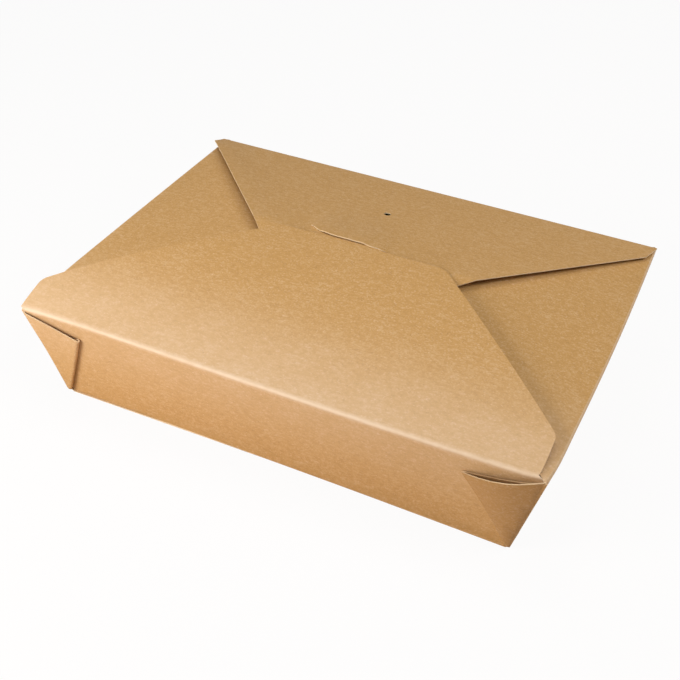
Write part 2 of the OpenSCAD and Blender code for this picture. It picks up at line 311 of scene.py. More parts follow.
class Folds:
    """Fold lines and slopes, worked out from the driving sizes and the frame's hinge."""

    def __init__(self, sizes, form):
        self.sizes = sizes
        half_board = sizes.board / 2
        tray_height = hinge_point.z
        self.lap = sizes.board + sizes.lap_gap
        self.floor_z = half_board
        self.side_z = tray_height - self.lap
        self.lean_x = atan((sizes.top_length - sizes.base_length) / 2 / tray_height)
        self.lean_y = atan((sizes.top_width - sizes.base_width) / 2 / tray_height)
        self.wall_up = Vector((0, -sin(self.lean_y), cos(self.lean_y)))
        self.wall_out = Vector((0, -cos(self.lean_y), -sin(self.lean_y)))
        self.wall_foot = Vector((0, half_board / cos(self.lean_y) - sizes.base_width / 2, 0))
        self.side_flap_half = sizes.top_width / 2 + sizes.side_flap_past

        # Closed flaps, from the creases up to the ridge where the front flap lies on the back flap
        flap = sizes.front_flap_length
        self.front_slope = asin(sizes.crown / flap)
        self.bow_slope = atan(4 * form.flap_bow / flap)  # Slope of the flap's arch at its crease
        crease_y = -hinge_point.y
        ridge_y = flap * cos(self.front_slope) - crease_y
        ridge_rise = sizes.crown - self.lap / cos(self.front_slope)
        self.back_slope = atan(ridge_rise / (crease_y - ridge_y))
        self.ridge_out = (crease_y - ridge_y) / cos(self.back_slope)
        self.tip_half = self.side_flap_half - sizes.side_flap_length / tan(sizes.side_slant)
        self.side_slope = asin((crease_y - self.tip_half) * tan(self.front_slope) / sizes.side_flap_length)

        back_point = Vector((0, crease_y, tray_height))
        side_point = Vector((self.side_x(self.side_z), 0, self.side_z))
        side_up = Vector((sin(self.lean_x), 0, cos(self.lean_x)))
        back_up = Vector((0, sin(self.lean_y), cos(self.lean_y)))
        bend = sizes.crease_reach
        self.front = Crease(hinge_point, X, self.wall_up, self.front_slope + self.bow_slope, bend)
        self.back = Crease(back_point, X, back_up, self.back_slope, bend)
        self.right = Crease(side_point, Y, side_up, self.side_slope, bend)
        self.ear_half = self.wall_end(self.up_to(self.front.wall_top.z))

    def side_x(self, z):
        """Middle of the right wall's board at height z."""
        sizes = self.sizes
        return sizes.base_length / 2 + z * tan(self.lean_x) - sizes.board / 2 / cos(self.lean_x)

    def on_front(self, x, up, out=0):
        """Point at a distance up the front wall's slope, and out of the wall."""
        return self.wall_foot + x * X + up * self.wall_up + out * self.wall_out

    def up_to(self, z):
        """Distance up the front wall's slope to height z."""
        return z / cos(self.lean_y)

    def wall_end(self, up, out=0):
        """Where the front wall or the inner web ends, next to the web's corner."""
        return self.side_x(self.on_front(0, up, out).z) - self.sizes.corner_room

    def web_free(self):
        """Free corner of a web's triangle: place along the front and up the wall's slope."""
        sizes = self.sizes
        front_panel = self.up_to(hinge_point.z)
        side_panel = hinge_point.z / cos(self.lean_x)
        corner_lean = atan((sizes.top_length - sizes.base_length) / 2 / front_panel)
        side_lean = atan((sizes.top_width - sizes.base_width) / 2 / side_panel)
        tilt = (pi / 2 - corner_lean - side_lean) / 2 - corner_lean
        return (sizes.base_length / 2 - sizes.web_fold_length * sin(tilt), sizes.web_fold_length * cos(tilt))


class Sheet:
    """A folded sheet while it is shaped: its mesh, and layers that mark panels, bends, and rubbed board with
    its painted highlight and painted shade.
    """

    def __init__(self):
        self.bm = bmesh.new()
        self.panel = self.bm.faces.layers.int.new("panel")
        self.bend = self.bm.faces.layers.int.new("bend")
        self.rub_and_painted_light = self.bm.verts.layers.float.new("rub_and_painted_light")

    def everything(self):
        bm = self.bm
        return bm.verts[:] + bm.edges[:] + bm.faces[:]

    def around(self, faces):
        """The faces with their edges and vertices."""
        edges = dict.fromkeys(e for f in faces for e in f.edges)
        verts = dict.fromkeys(v for f in faces for v in f.verts)
        return [*faces, *edges, *verts]

    def add(self, kind, points, bend=0):
        """Adds one flat panel through points, some of which may be vertices already there."""
        verts = [p if isinstance(p, bmesh.types.BMVert) else self.bm.verts.new(p) for p in points]
        face = self.bm.faces.new(verts)
        face[self.panel] = kind
        face[self.bend] = bend
        return face

    def weld(self):
        bmesh.ops.remove_doubles(self.bm, verts=self.bm.verts[:], dist=WELD)

    def spin(self, edges, centre, axis, angle, steps, kind=PLAIN_BEND):
        """Bends new board on from edges, and returns the vertices of its far edge."""
        before = set(self.bm.faces)
        made = bmesh.ops.spin(self.bm, geom=edges, cent=centre, axis=axis, angle=angle, steps=steps)
        for face in self.bm.faces:
            if face not in before:
                face[self.bend] = 1
                face[self.panel] = kind
        return [g for g in made["geom_last"] if isinstance(g, bmesh.types.BMVert)]

    def fold_over(self, edges, crease, kind=PLAIN_BEND):
        """Bends the board over a flap's crease, and returns the flap's first vertices in order."""
        far = self.spin(edges, crease.centre, crease.axis, crease.angle, CREASE_STEPS, kind)
        return sorted(far, key=lambda v: v.co.dot(crease.axis))

    def edges_between(self, kinds):
        return [e for e in self.bm.edges if {f[self.panel] for f in e.link_faces} == set(kinds)]

    def bevel(self, edges, width, segments, kind=PLAIN_BEND):
        """Makes the folds at edges bends of a width on each side."""
        made = bmesh.ops.bevel(self.bm, geom=edges, offset=width, offset_type="OFFSET", affect="EDGES",
                               segments=segments, profile=0.5, material=-1, clamp_overlap=False)
        for face in made["faces"]:
            face[self.bend] = 1
            face[self.panel] = kind

    def round_corner(self, vert, radius):
        """Rounds a corner of a panel's outline."""
        first, second = [e.other_vert(vert).co - vert.co for e in vert.link_edges]
        reach = radius / tan(first.angle(second) / 2)
        bmesh.ops.bevel(self.bm, geom=[vert], offset=reach, offset_type="OFFSET", affect="VERTICES",
                        segments=OUTLINE_STEPS, profile=0.5, material=-1)

    def cut_plane(self, point, normal, geom=None):
        """Cuts the sheet, or some of it, along a plane."""
        bmesh.ops.bisect_plane(self.bm, geom=geom or self.everything(), dist=WELD,
                               plane_co=point, plane_no=normal)

    def cut_grid(self, spacing, axes):
        """Cuts the sheet into small faces along each axis, so that it can bow."""
        for axis in axes:
            reach = [v.co.dot(axis) for v in self.bm.verts]
            first = int(min(reach) / spacing) - 1
            last = int(max(reach) / spacing) + 1
            for i in range(first, last + 1):
                self.cut_plane(i * spacing * axis, axis)
        self.drop_slivers()

    def drop_slivers(self):
        """Closes up the slivers that the cuts leave."""
        bmesh.ops.dissolve_degenerate(self.bm, dist=SLIVER, edges=self.bm.edges[:])

    def verts_of(self, *kinds):
        return {v for f in self.bm.faces if f[self.panel] in kinds for v in f.verts}

    def mark_rub_and_painted_light(self, look):
        """Marks where the board is rubbed pale or carries painted highlight and sheen, above 0, and where
        painted shade darkens it, below 0.
        """
        for vert in self.bm.verts:
            panels = {f[self.panel] for f in vert.link_faces}
            # Painted shade: the webs' inner layers are darkened where shade falls in the pockets between the
            # layers
            if panels == {WEB_INNER}:
                vert[self.rub_and_painted_light] = -look.painted_pocket_shade
            # Painted shade: the right webs' outer layers are darkened as if turned away from the light
            elif vert.co.x > 0 and panels & {WEB_OUTER, WEB_FOLD, CORNER_BEND}:
                vert[self.rub_and_painted_light] = -look.painted_web_shade
            else:
                vert[self.rub_and_painted_light] = min(max(self.bend_rub(vert, look), front_crease_rub_and_highlight(vert, look)), 1.0)

    def bend_rub(self, vert, look):
        """How pale a vertex is rubbed that lies within a bend."""
        if not all(f[self.bend] for f in vert.link_faces):
            return 0.0
        kinds = {f[self.panel] for f in vert.link_faces}
        if kinds == {SIDE_CREASE}:
            return look.rim_rub
        return look.bend_rub if kinds <= {PLAIN_BEND, CORNER_BEND} else 0.0

    def to_object(self, name, board, materials, outside):
        """Makes the sheet an object of its real thickness. The face at outside's side is the outer one."""
        bm = self.bm
        bmesh.ops.recalc_face_normals(bm, faces=bm.faces[:])
        if not outside(bm):
            bmesh.ops.reverse_faces(bm, faces=bm.faces[:])
        for face in bm.faces:
            face.smooth = True
        mesh = bpy.data.meshes.new(name)
        bm.to_mesh(mesh)
        bm.free()
        piece = bpy.data.objects.new(name, mesh)
        bpy.context.collection.objects.link(piece)
        for material in materials:
            mesh.materials.append(material)
        thicken(piece, board)
        return piece


def front_crease_rub_and_highlight(vert, look):
    """Painted highlight and sheen, with some real rub, at the front crease: how pale a vertex is for its
    distance from the crease, and less on the wall below.
    """
    above = vert.co - hinge_point
    away = above.yz.length
    near = look.crease_rub_and_highlight * fade(away, look.crease_rub_and_highlight_reach)
    around = look.front_painted_sheen * fade(away, look.front_painted_sheen_reach)
    below = clamp(-above.z / look.crease_rub_and_highlight_reach)
    return (near + around) * (1 - look.wall_rub_and_highlight_loss * below)


def mostly_up(bm):
    """Whether a sheet's faces point upwards, taken together."""
    return sum(f.normal.z * f.calc_area() for f in bm.faces) > 0


def thicken(piece, board):
    """Gives a sheet its thickness, with its inner face and its cut edges in their own materials."""
    wall = piece.modifiers.new("Board", "SOLIDIFY")
    wall.thickness = board
    wall.offset = 0
    wall.use_even_offset = False
    wall.use_quality_normals = True
    wall.material_offset = 1
    wall.material_offset_rim = 2
    solid = bpy.data.meshes.new_from_object(piece.evaluated_get(bpy.context.evaluated_depsgraph_get()))
    piece.modifiers.clear()
    piece.data = solid
    solid.name = piece.name
    solid.set_sharp_from_angle(angle=SHARP)


def clamp(t):
    """A share kept within 0 and 1."""
    return min(max(t, 0.0), 1.0)


def wave(t):
    """Smooth swell that is 0 at both ends of 0 to 1, and 1 in the middle."""
    return sin(pi * clamp(t)) ** 2


def ramp(t):
    """Smooth rise from 0 at t = 0 to 1 at t = 1."""
    return sin(pi / 2 * clamp(t))


def arch(t):
    """Even bow that is 0 at both ends of 0 to 1, and 1 in the middle."""
    return 4 * t * (1 - t)


def fade(away, reach):
    """Share of an effect that dies away with distance."""
    return exp(-(away / reach) ** 2)


def quarter_tray(sheet, folds):
    """Front right quarter of the tray: base, half walls and the web folded between them."""
    sizes = folds.sizes
    floor_z = folds.floor_z
    foot = folds.up_to(floor_z)
    low = sizes.web_lift
    rim = folds.up_to(hinge_point.z)
    wall_top = folds.up_to(folds.front.wall_top.z)
    inner_top = wall_top - sizes.crease_strip
    side_top = folds.right.wall_top
    free_x, free_up = folds.web_free()
    inner = folds.lap
    outer = inner + sizes.web_loop_low

    def wall_end(up, out=0):
        return folds.on_front(folds.wall_end(up, out), up, out)

    def corner(up, out):
        return folds.on_front(folds.side_x(folds.on_front(0, up, out).z), up, out)

    base_front = folds.on_front(0, foot)
    base_corner = corner(foot, 0)
    base_side = Vector((base_corner.x, 0, floor_z))
    sheet.add(BASE, [Vector((0, 0, floor_z)), base_front, wall_end(foot), base_corner, base_side])
    wall_side = [wall_end(up) for up in (foot, low, inner_top, wall_top)]
    sheet.add(FRONT_WALL, [base_front, *wall_side, folds.on_front(0, wall_top)])

    corner_low = corner(low, outer)
    corner_rim = corner(rim, sizes.web_stand)
    flap_end = Vector((side_top.x, -folds.side_flap_half, side_top.z))
    sheet.add(SIDE_WALL, [base_side, base_corner, corner_low, corner_rim, flap_end, side_top])

    fold_low = [wall_end(low, out) for out in (outer, inner)]
    fold_free = [folds.on_front(free_x, free_up, out) for out in (inner + sizes.web_loop, inner)]
    sheet.add(WEB_OUTER, [corner_low, fold_low[0], fold_free[0]])
    sheet.add(WEB_OUTER, [corner_low, fold_free[0], corner_rim])
    fold_loop(sheet, folds, fold_low, fold_free)
    inner_low, inner_rim = wall_end(low, inner), wall_end(inner_top, inner)
    web = sheet.add(WEB_INNER, [inner_low, fold_free[1], inner_rim])
    corner_axis = (inner_rim - inner_low).normalized()
    turn_centre = (inner_low + wall_end(low)) / 2
    sheet.spin([edge_at(web, inner_low, inner_rim)], turn_centre, corner_axis, pi, WEB_TURN_STEPS)


def fold_loop(sheet, folds, low, free):
    """Rounded fold of a web, from its outer to its inner layer, given both layers' points at each end."""
    along = (free[0] - low[0]).normalized()
    aside = along.cross(folds.wall_out)
    if aside.x > 0:
        aside = -aside
    turns = [pi * i / WEB_FOLD_STEPS for i in range(WEB_FOLD_STEPS + 1)]
    rows = []
    for outer, inner in (low, free):
        reach = (outer - inner) / 2
        rows.append([inner + reach + cos(t) * reach + sin(t) * reach.length * aside for t in turns])
    for i in range(WEB_FOLD_STEPS):
        sheet.add(WEB_FOLD, [rows[0][i], rows[1][i], rows[1][i + 1], rows[0][i + 1]], bend=1)


def edge_at(face, first, second):
    """Edge of a face between two points."""
    middle = (first + second) / 2
    return min(face.edges, key=lambda e: ((e.verts[0].co + e.verts[1].co) / 2 - middle).length)


def tray(sheet, folds):
    """Base, walls and web corners, mirrored from one quarter, with bends at the base and corners."""
    quarter_tray(sheet, folds)
    sheet.weld()
    for axis in ("X", "Y"):
        bmesh.ops.mirror(sheet.bm, geom=sheet.everything(), matrix=Matrix.Identity(4),
                         merge_dist=WELD, axis=axis)
    sizes = folds.sizes
    for wall in (FRONT_WALL, SIDE_WALL):
        sheet.bevel(sheet.edges_between((BASE, wall)), sizes.base_bend, BASE_STEPS)
    corners = sheet.edges_between((SIDE_WALL, WEB_OUTER))
    sheet.bevel(corners, sizes.corner_bend, CORNER_STEPS, CORNER_BEND)
    trim_front(sheet, folds)


def trim_front(sheet, folds):
    """Cuts off the front wall's top, which belongs to the front crease."""
    crease = folds.front
    top = crease.wall_top - folds.sizes.crease_strip * crease.up
    walls = [f for f in sheet.bm.faces if f[sheet.panel] == FRONT_WALL]
    front = [f for f in walls if f.calc_center_median().y < 0]
    bmesh.ops.bisect_plane(sheet.bm, geom=sheet.around(front), dist=WELD, clear_outer=True,
                           plane_co=top, plane_no=crease.up)


def edges_along(sheet, point, normal, axis, half):
    """Boundary edges on the plane through point, within half of the middle along axis."""
    found = []
    for edge in sheet.bm.edges:
        on_plane = all(abs((v.co - point).dot(normal)) < WELD for v in edge.verts)
        within = all(abs(v.co.dot(axis)) < half + WELD for v in edge.verts)
        if on_plane and within and edge.is_boundary:
            found.append(edge)
    return found


def side_flap(sheet, folds, side):
    """Side flap on the right, or on the left where side is -1."""
    sizes = folds.sizes
    right = folds.right
    flip = Vector((side, 1, 1))
    crease = Crease(right.point * flip, Y, right.up * flip, folds.side_slope, right.reach)
    rim = [e for e in edges_along(sheet, crease.wall_top, Z, Y, folds.side_flap_half)
           if all(abs(v.co.x - crease.wall_top.x) < WELD for v in e.verts)]
    ring = sheet.fold_over(rim, crease, SIDE_CREASE)
    tips = [crease.on_flap(along, sizes.side_flap_length) for along in (folds.tip_half, -folds.tip_half)]
    face = sheet.add(SIDE_FLAP, ring + tips)
    for vert in list(face.verts)[-2:]:
        sheet.round_corner(vert, sizes.tip_radius)


def slit_line(folds):
    """Places of the slit on the back flap, from its right end to its hooked left end."""
    sizes = folds.sizes
    bend_start = sizes.slit_left + sizes.hook_radius * sin(sizes.hook_turn)
    out = sizes.slit_from_crease
    points = [(sizes.slit_right, out)]
    for i in range(HOOK_STEPS + 1):
        turned = sizes.hook_turn * i / HOOK_STEPS
        points.append((bend_start - sizes.hook_radius * sin(turned),
                       out - sizes.hook_radius * (1 - cos(turned))))
    return points


def widen_bend(ring, crease, left, right):
    """Moves the ends of a crease's bend to the flap's ends, more and more towards the flap."""
    for end, target in ((ring[0], left), (ring[-1], right)):
        start = end.co.x
        column = [end]
        while (column[-1].co - crease.wall_top).dot(crease.up) > WELD:
            beside = [e.other_vert(column[-1]) for e in column[-1].link_edges]
            column.append(next(v for v in beside if abs(v.co.x - start) < WELD and v not in column))
        for i, vert in enumerate(column):
            vert.co.x = start + (target - start) * (1 - i / (len(column) - 1))


def back_flap(sheet, folds):
    """Back flap with its slit, and its end bent down at the ridge to lie under the front flap."""
    sizes = folds.sizes
    crease = folds.back
    rim = edges_along(sheet, crease.wall_top, Z, X, folds.ear_half)
    rim = [e for e in rim if all(v.co.y > 0 for v in e.verts)]
    ring = sheet.fold_over(rim, crease)
    slant_rise = tan(sizes.back_slant)
    widen_bend(ring, crease, -sizes.back_half, sizes.back_half)

    def edge_x(out):
        return folds.ear_half - (out - sizes.back_ear) / slant_rise

    def ear_end(x):
        return crease.on_flap(x, sizes.back_ear + (folds.ear_half - abs(x)) * slant_rise)

    slit_out = sizes.slit_from_crease
    slit = slit_line(folds)
    chain = [(edge_x(slit_out), slit_out)] + slit + [(-edge_x(slit_out), slit_out)]
    chain_verts = [sheet.bm.verts.new(crease.on_flap(x, out)) for x, out in chain]
    sheet.add(BACK_REAR, ring + [ear_end(sizes.back_right)] + chain_verts + [ear_end(sizes.back_left)])

    ridge_half = edge_x(folds.ridge_out)
    ridge_places = [ridge_half] + [x for x, out in slit] + [-ridge_half]
    ridge_verts = [sheet.bm.verts.new(crease.on_flap(x, folds.ridge_out)) for x in ridge_places]
    columns = list(zip(chain_verts, ridge_verts))
    for (rear, front), (next_rear, next_front) in zip(columns, columns[1:]):
        sheet.add(BACK_FRONT, [rear, front, next_front, next_rear])
    tuck = Vector((0, -cos(folds.front_slope), -sin(folds.front_slope)))
    end_half = ridge_half - sizes.back_tuck / slant_rise
    ridge = crease.on_flap(0, folds.ridge_out)
    ends = [ridge + tuck * sizes.back_tuck + side * end_half * X for side in (-1, 1)]
    sheet.add(BACK_FRONT, ridge_verts + ends)


def open_slit(sheet, folds, form):
    """Cuts the slit between the back flap's rear and front parts."""
    sizes = folds.sizes
    crease = folds.back

    def from_slit(face):
        return abs((face.calc_center_median() - crease.point).dot(crease.flap) - sizes.slit_from_crease)

    flap = [f for f in sheet.bm.faces if f[sheet.panel] in (BACK_REAR, BACK_FRONT)]
    geom = sheet.around([f for f in flap if from_slit(f) < 2 * form.lip_reach])
    x = sizes.slit_left
    while x < sizes.slit_right:
        geom = bmesh.ops.bisect_plane(sheet.bm, geom=geom, dist=WELD, plane_co=x * X, plane_no=X)["geom"]
        x += form.slit_grid
    sheet.drop_slivers()
    cut = [e for e in sheet.edges_between((BACK_REAR, BACK_FRONT))
           if all(sizes.slit_left - WELD < v.co.x < sizes.slit_right + WELD for v in e.verts)]
    bmesh.ops.split_edges(sheet.bm, edges=cut)


def lift_lip(sheet, folds, form):
    """Lifts the slit's rear lip over the tongue, and the board in front of it where the tongue ends."""
    sizes = folds.sizes
    crease = folds.back
    slit = slit_line(folds)
    taper = sizes.tongue_taper

    def slit_out(x):
        for (x0, out0), (x1, out1) in zip(slit, slit[1:]):
            if x1 <= x <= x0:
                return out0 + (out1 - out0) * (x0 - x) / (x0 - x1)
        return sizes.slit_from_crease

    def beside(x):
        """Share of the lip's rise beside the tongue, where it lies on the board in front of it."""
        return form.lip_tail * ramp(2 * (x - sizes.slit_left) / taper) * ramp((sizes.slit_right - x) / taper)

    def over(x):
        """Share of the lip's rise over the tongue."""
        return ramp((x - sizes.tongue_left) / taper) * ramp((sizes.tongue_right - x) / taper + LIP_PAST)

    rear = sheet.verts_of(BACK_REAR)
    for vert in rear | sheet.verts_of(BACK_FRONT):
        x = vert.co.x
        away = abs(slit_out(x) - (vert.co - crease.point).dot(crease.flap))
        if vert in rear:
            vert.co += crease.lift * form.lip_lift * max(over(x), beside(x)) * fade(away, form.lip_reach)
        elif away < WELD:
            vert.co += crease.lift * max(form.lip_lift * beside(x) - sizes.board, 0)


def curl_ear(sheet, folds, form):
    """Curls the back flap's left ear up off the side flap, and lifts the slanted edge beside it."""
    sizes = folds.sizes
    crease = folds.back
    for vert in sheet.verts_of(BACK_REAR):
        out = (vert.co - crease.point).dot(crease.flap)
        past = max(out - sizes.back_ear, 0)
        inside = max(folds.ear_half - past / tan(sizes.back_slant) + vert.co.x, 0)
        rise = wave(out / sizes.back_ear / 2) if out < sizes.back_ear else 1
        curl = form.ear_curl * rise * fade(inside, form.curl_reach) * fade(past, form.curl_past)
        vert.co += crease.lift * curl


def open_vent(sheet, folds, form):
    """Punches the round vent hole in the back flap."""
    sizes = folds.sizes
    crease = folds.back
    centre = crease.on_flap(sizes.vent_offset, sizes.vent_from_crease)
    radius = sizes.vent_diameter / 2
    turns = [2 * pi * i / VENT_SIDES for i in range(VENT_SIDES)]
    normals = [cos(turn) * crease.axis + sin(turn) * crease.flap for turn in turns]

    def near(reach):
        flap = [f for f in sheet.bm.faces if f[sheet.panel] == BACK_REAR]
        return [f for f in flap if (f.calc_center_median() - centre).length < reach]

    for normal in normals:
        sheet.cut_plane(centre + radius * normal, normal, sheet.around(near(1.5 * form.grid)))
    hole = [f for f in near(2 * radius)
            if all((f.calc_center_median() - centre).dot(normal) < radius for normal in normals)]
    bmesh.ops.delete(sheet.bm, geom=hole, context="FACES")
    sheet.drop_slivers()


def bow_walls(sheet, folds, form):
    """Swells the walls a little, as a tray that springs against its folds, and spreads the side rims."""
    top = folds.front.wall_top.z
    front_half = folds.side_x(top / 2)
    for vert in sheet.verts_of(FRONT_WALL):
        swell = form.wall_bow * wave((vert.co.x / front_half + 1) / 2) * wave(vert.co.z / top)
        vert.co.y += swell if vert.co.y > 0 else -swell
    for vert in sheet.verts_of(SIDE_WALL, SIDE_CREASE, SIDE_FLAP):
        side = 1 if vert.co.x > 0 else -1
        along = wave((vert.co.y / folds.side_flap_half + 1) / 2)
        high = vert.co.z / folds.side_z
        inside = max(folds.right.point.x - abs(vert.co.x), 0) / folds.sizes.side_flap_length
        if high < 1:
            inside = 0
        spread = form.right_spread if side > 0 else form.left_spread
        swell = form.wall_bow * along * wave(high)
        vert.co.x += side * (swell + spread * sqrt(along) * min(high, 1) * max(1 - inside, 0))


def settle(verts, loose, folds, form):
    """Lets the board near the front crease settle: loose is what can hang over at the left."""
    for vert in loose:
        left = max(-vert.co.x / folds.ear_half, 0) ** form.left_grip
        vert.co += left * fade((vert.co - hinge_point).yz.length, form.left_reach) * Vector(form.sag_left)
    for vert in verts:
        near = fade((vert.co - hinge_point).yz.length, form.sag_reach)
        end = min(abs(vert.co.x) / folds.ear_half, 1) ** 2
        vert.co.y -= near * (form.sag_ends + form.sag_out * (1 - end))
        vert.co.z -= near * form.sag_down
    for vert in verts:
        vert.co += pressed_in(vert.co, folds, form)


def pressed_in(point, folds, form):
    """Shift of a point where the front right corner's web rounds off towards the side wall."""
    x, y, z = point
    front = folds.on_front(0, folds.up_to(z), folds.sizes.web_stand).y
    away = max(folds.side_x(z) - x, 0) + max(y - front, 0)
    press = Vector(form.press)
    press.y *= min(z / folds.side_z, 1)
    return fade(away, form.press_reach) * press


def skew_tray(sheet, folds, form):
    """Leans the back right corner out, since the box isn't folded quite square."""
    half_width = folds.sizes.top_width / 2
    for vert in sheet.bm.verts:
        right = max(vert.co.x / folds.right.point.x, 0)
        back = clamp((vert.co.y + half_width) / (2 * half_width))
        vert.co.x += form.skew * right ** 2 * back * min(vert.co.z / folds.side_z, 1)


def gape_webs(sheet, folds, form):
    """Bows the web corners' layers away from the wall, most at their cut edge."""
    sizes = folds.sizes
    free_x, free_up = folds.web_free()
    low = sizes.web_lift
    low_x = folds.wall_end(low)
    for vert in sheet.verts_of(WEB_OUTER, WEB_FOLD, WEB_INNER):
        right = vert.co.x > 0
        back = vert.co.y > 0
        outer, inner, fold = form.back_web if back else form.right_web if right else form.left_web
        shift = 0 if back else form.right_shift if right else form.left_shift
        drop = 0 if back or right else form.inner_drop

        # Where the vertex lies in its web: up the wall, across from the corner, and from layer to layer
        spot = Vector((abs(vert.co.x), -abs(vert.co.y), vert.co.z)) - folds.wall_foot
        high = clamp((spot.dot(folds.wall_up) - low) / (free_up - low))
        fold_x = low_x + (free_x - low_x) * high
        corner_x = folds.side_x(vert.co.z)
        across = clamp((corner_x - abs(vert.co.x)) / (corner_x - fold_x))
        loop = sizes.web_loop_low + (sizes.web_loop - sizes.web_loop_low) * high
        layer = clamp((spot.dot(folds.wall_out) - folds.lap) / loop)

        bulge = (inner + (outer - inner) * layer) * sin(pi * across ** BULGE_LEAN)
        sink = drop * (1 - layer) * (1 - across ** DROP_HOLD)
        out = Vector((0, -folds.wall_out.y if back else folds.wall_out.y, folds.wall_out.z))
        vert.co += high * (out * (bulge + fold * layer * across) + X * shift * across - Z * sink)


class Nodes:
    """Short ways to add and join shader nodes."""

    def __init__(self, tree):
        self.tree = tree

    def add(self, kind, **values):
        node = self.tree.nodes.new(kind)
        for name, value in values.items():
            setattr(node, name, value)
        return node

    def join(self, source, target):
        self.tree.links.new(source, target)

    def noise(self, coords, scale, detail):
        """Noise of so many features a metre."""
        node = self.add("ShaderNodeTexNoise")
        self.join(coords, node.inputs["Vector"])
        node.inputs["Scale"].default_value = scale
        node.inputs["Detail"].default_value = detail
        return node.outputs["Fac"]

    def ramp(self, value, low, high):
        """Share that goes from 0 at low to 1 at high."""
        node = self.add("ShaderNodeMapRange")
        self.join(value, node.inputs["Value"])
        node.inputs["From Min"].default_value = low
        node.inputs["From Max"].default_value = high
        return node.outputs["Result"]

    def math(self, operation, *values):
        """Result of an operation on values that are sockets or plain numbers."""
        node = self.add("ShaderNodeMath", operation=operation)
        for value, socket in zip(values, node.inputs):
            if isinstance(value, bpy.types.NodeSocket):
                self.join(value, socket)
            else:
                socket.default_value = value
        return node.outputs["Value"]

    def sum_of(self, *parts, base=0.0):
        """Adds each value times its factor to a base."""
        total = base
        for value, factor in parts:
            total = self.math("MULTIPLY_ADD", value, factor, total)
        return total

    def mix(self, amount, first, second):
        """Colour between two colours, with the amount kept within 0 and 1."""
        node = self.add("ShaderNodeMix", data_type="RGBA", clamp_factor=True)
        self.join(amount, node.inputs["Factor"])
        self.join(first, node.inputs[6])
        self.join(second, node.inputs[7])
        return node.outputs[2]


def board_fibres_and_painted_light():
    """Node group that gives a plain board tone its mottle, fibres, flecks, rubbed creases, painted highlight
    and sheen, and the webs' painted shade.
    """
    group = bpy.data.node_groups.get("board_fibres_and_painted_light")
    if group:
        return group
    group = bpy.data.node_groups.new("board_fibres_and_painted_light", "ShaderNodeTree")
    face = group.interface
    for name, kind in (("Place", "Vector"), ("Tone", "Color"), ("Pale", "Color"), ("Dark", "Color"),
                       ("RubAndPaintedLight", "Float")):
        face.new_socket(name, in_out="INPUT", socket_type="NodeSocket" + kind)
    for name, kind in (("Color", "Color"), ("Roughness", "Float"), ("Height", "Float")):
        face.new_socket(name, in_out="OUTPUT", socket_type="NodeSocket" + kind)
    tree = Nodes(group)
    given = tree.add("NodeGroupInput")
    coords, tone, pale, dark, rub_and_painted_light = given.outputs[:5]

    # Fibres lie along the box, so their noise is drawn out that way
    stretch = tree.add("ShaderNodeVectorMath", operation="MULTIPLY")
    tree.join(coords, stretch.inputs[0])
    stretch.inputs[1].default_value = (0.5, 1.0, 1.0)
    along = stretch.outputs["Vector"]
    mottle = tree.noise(coords, scale=80.0, detail=3.0)
    fibre = tree.noise(along, scale=750.0, detail=2.0)
    grain = tree.noise(coords, scale=1300.0, detail=3.0)
    pale_fleck = tree.ramp(tree.noise(along, scale=2300.0, detail=0.0), low=0.68, high=0.76)
    dark_fleck = tree.ramp(tree.noise(coords, scale=1900.0, detail=0.0), low=0.72, high=0.80)

    # Half of the noise lightens the board, the other half darkens it, and the flecks lie over both
    lighter = tree.sum_of((mottle, 0.25), (fibre, 0.70), (grain, 0.90), base=-0.925)
    darker = tree.sum_of((mottle, -0.15), (fibre, -0.50), (grain, -0.65), base=0.65)
    fleck_strength = 0.35
    tint = tree.mix(lighter, tone, pale)
    tint = tree.mix(darker, tint, dark)
    tint = tree.mix(tree.math("MULTIPLY", pale_fleck, fleck_strength), tint, pale)
    tint = tree.mix(tree.math("MULTIPLY", dark_fleck, fleck_strength), tint, dark)

    # A value above 0 is rub and painted highlight, made pale unevenly, and one below 0 is painted shade, made
    # dark
    pale_wear_and_highlight = tree.math("MULTIPLY", rub_and_painted_light, tree.sum_of((mottle, 0.5), (fibre, 0.5), base=0.50))
    painted_shade = tree.math("MULTIPLY", rub_and_painted_light, -1.0)
    tint = tree.mix(pale_wear_and_highlight, tint, pale)
    tint = tree.mix(painted_shade, tint, dark)

    out = tree.add("NodeGroupOutput")
    tree.join(tint, out.inputs["Color"])
    tree.join(tree.sum_of((mottle, 0.10), (grain, 0.12), base=0.44), out.inputs["Roughness"])
    tree.join(tree.sum_of((fibre, 0.6), (grain, 0.4)), out.inputs["Height"])
    return group


def board_materials(look):
    """Outer face, inner face and cut edge of the board."""
    return [board_material("board_face", look, look.face, look.relief, look.face_gloss),
            board_material("board_inside", look, look.inside, look.relief / 2, look.inside_gloss),
            board_material("board_edge", look, look.raw, 2 * look.relief, look.face_gloss)]


